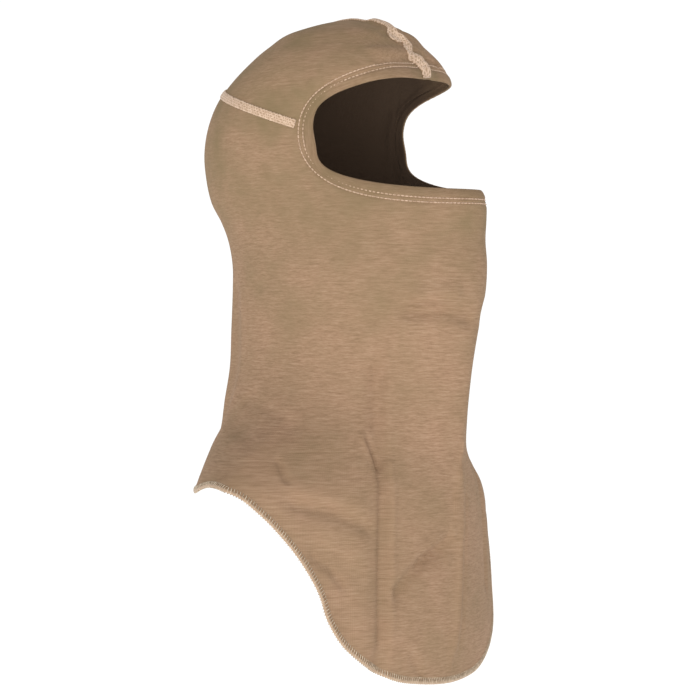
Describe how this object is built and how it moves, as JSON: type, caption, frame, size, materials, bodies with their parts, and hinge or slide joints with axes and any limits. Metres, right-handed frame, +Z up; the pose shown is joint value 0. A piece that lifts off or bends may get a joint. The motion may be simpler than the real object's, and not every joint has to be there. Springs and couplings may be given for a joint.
{
  "type": "flame resistant balaclava",
  "caption": "Knitted hood with an oval face opening in a stitched elastic hem, a seamed crown, a neck tube and a rounded bib that drapes over the shoulders.",
  "frame": {"origin": "the inside of the top of the crown, where the top of the wearer's head meets it", "axes": "+Z up, the face opening looks along -Y, the wearer's left is +X; X is the mirror axis of the cut apart from its folds"},
  "size_m": [0.327, 0.2118, 0.4572],
  "materials": {
    "knit": "matt aramid and viscose jersey knit with fine heathered courses",
    "thread": "spun sewing thread in flat seams, cover stitches and overlocking"
  },
  "bodies": {
    "root": {"crown_right": "knit", "crown_left": "knit", "hood_body": "knit", "face_band": "knit", "crown_seam": "thread", "back_seam": "thread", "hem_edge": "thread"}
  },
  "joints": []
}
